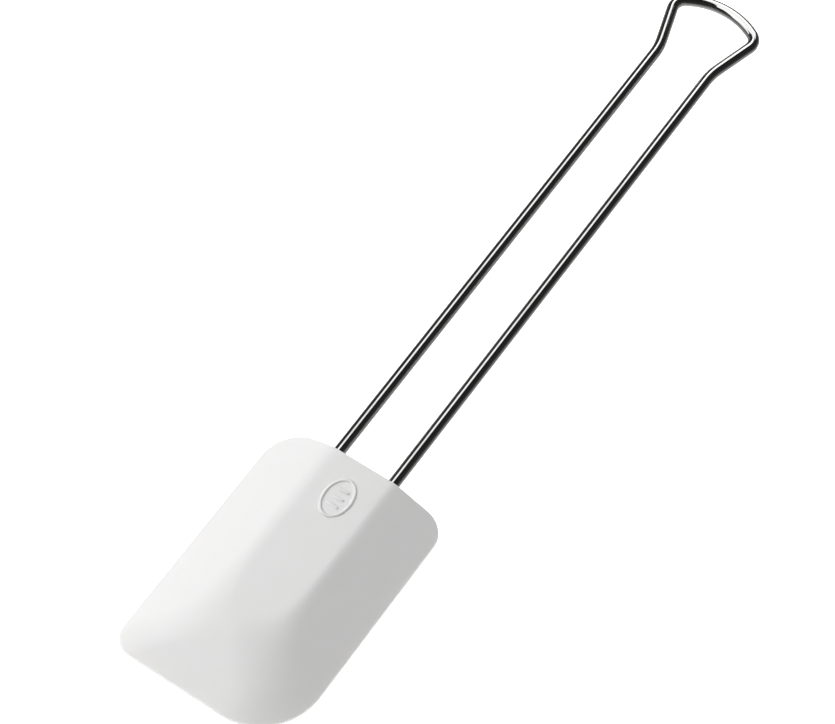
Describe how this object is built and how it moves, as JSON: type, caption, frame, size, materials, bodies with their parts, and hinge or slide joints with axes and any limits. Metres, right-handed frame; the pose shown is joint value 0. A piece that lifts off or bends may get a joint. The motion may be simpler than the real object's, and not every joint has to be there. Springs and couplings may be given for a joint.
{
  "type": "silicone scraper spatula",
  "caption": "Flat-backed silicone scraper head with a raised front rib on a bent polished steel wire loop handle with a hanging eye.",
  "frame": {"origin": "bottom centre of the overall box: on the plane of the head's flat back, half way along the overall length", "axes": "+Y from the scraping edge towards the hanging eye, +Z out of the ribbed front, +X to the large-radius scraping corner"},
  "size_m": [0.055, 0.2708, 0.0097],
  "materials": {
    "polished_wire": "polished stainless steel",
    "core_plastic": "moulded",
    "silicone": "satin moulded"
  },
  "bodies": {
    "root": {"wire_handle": "polished_wire", "core_plate": "core_plastic", "silicone_head": "silicone"}
  },
  "joints": []
}
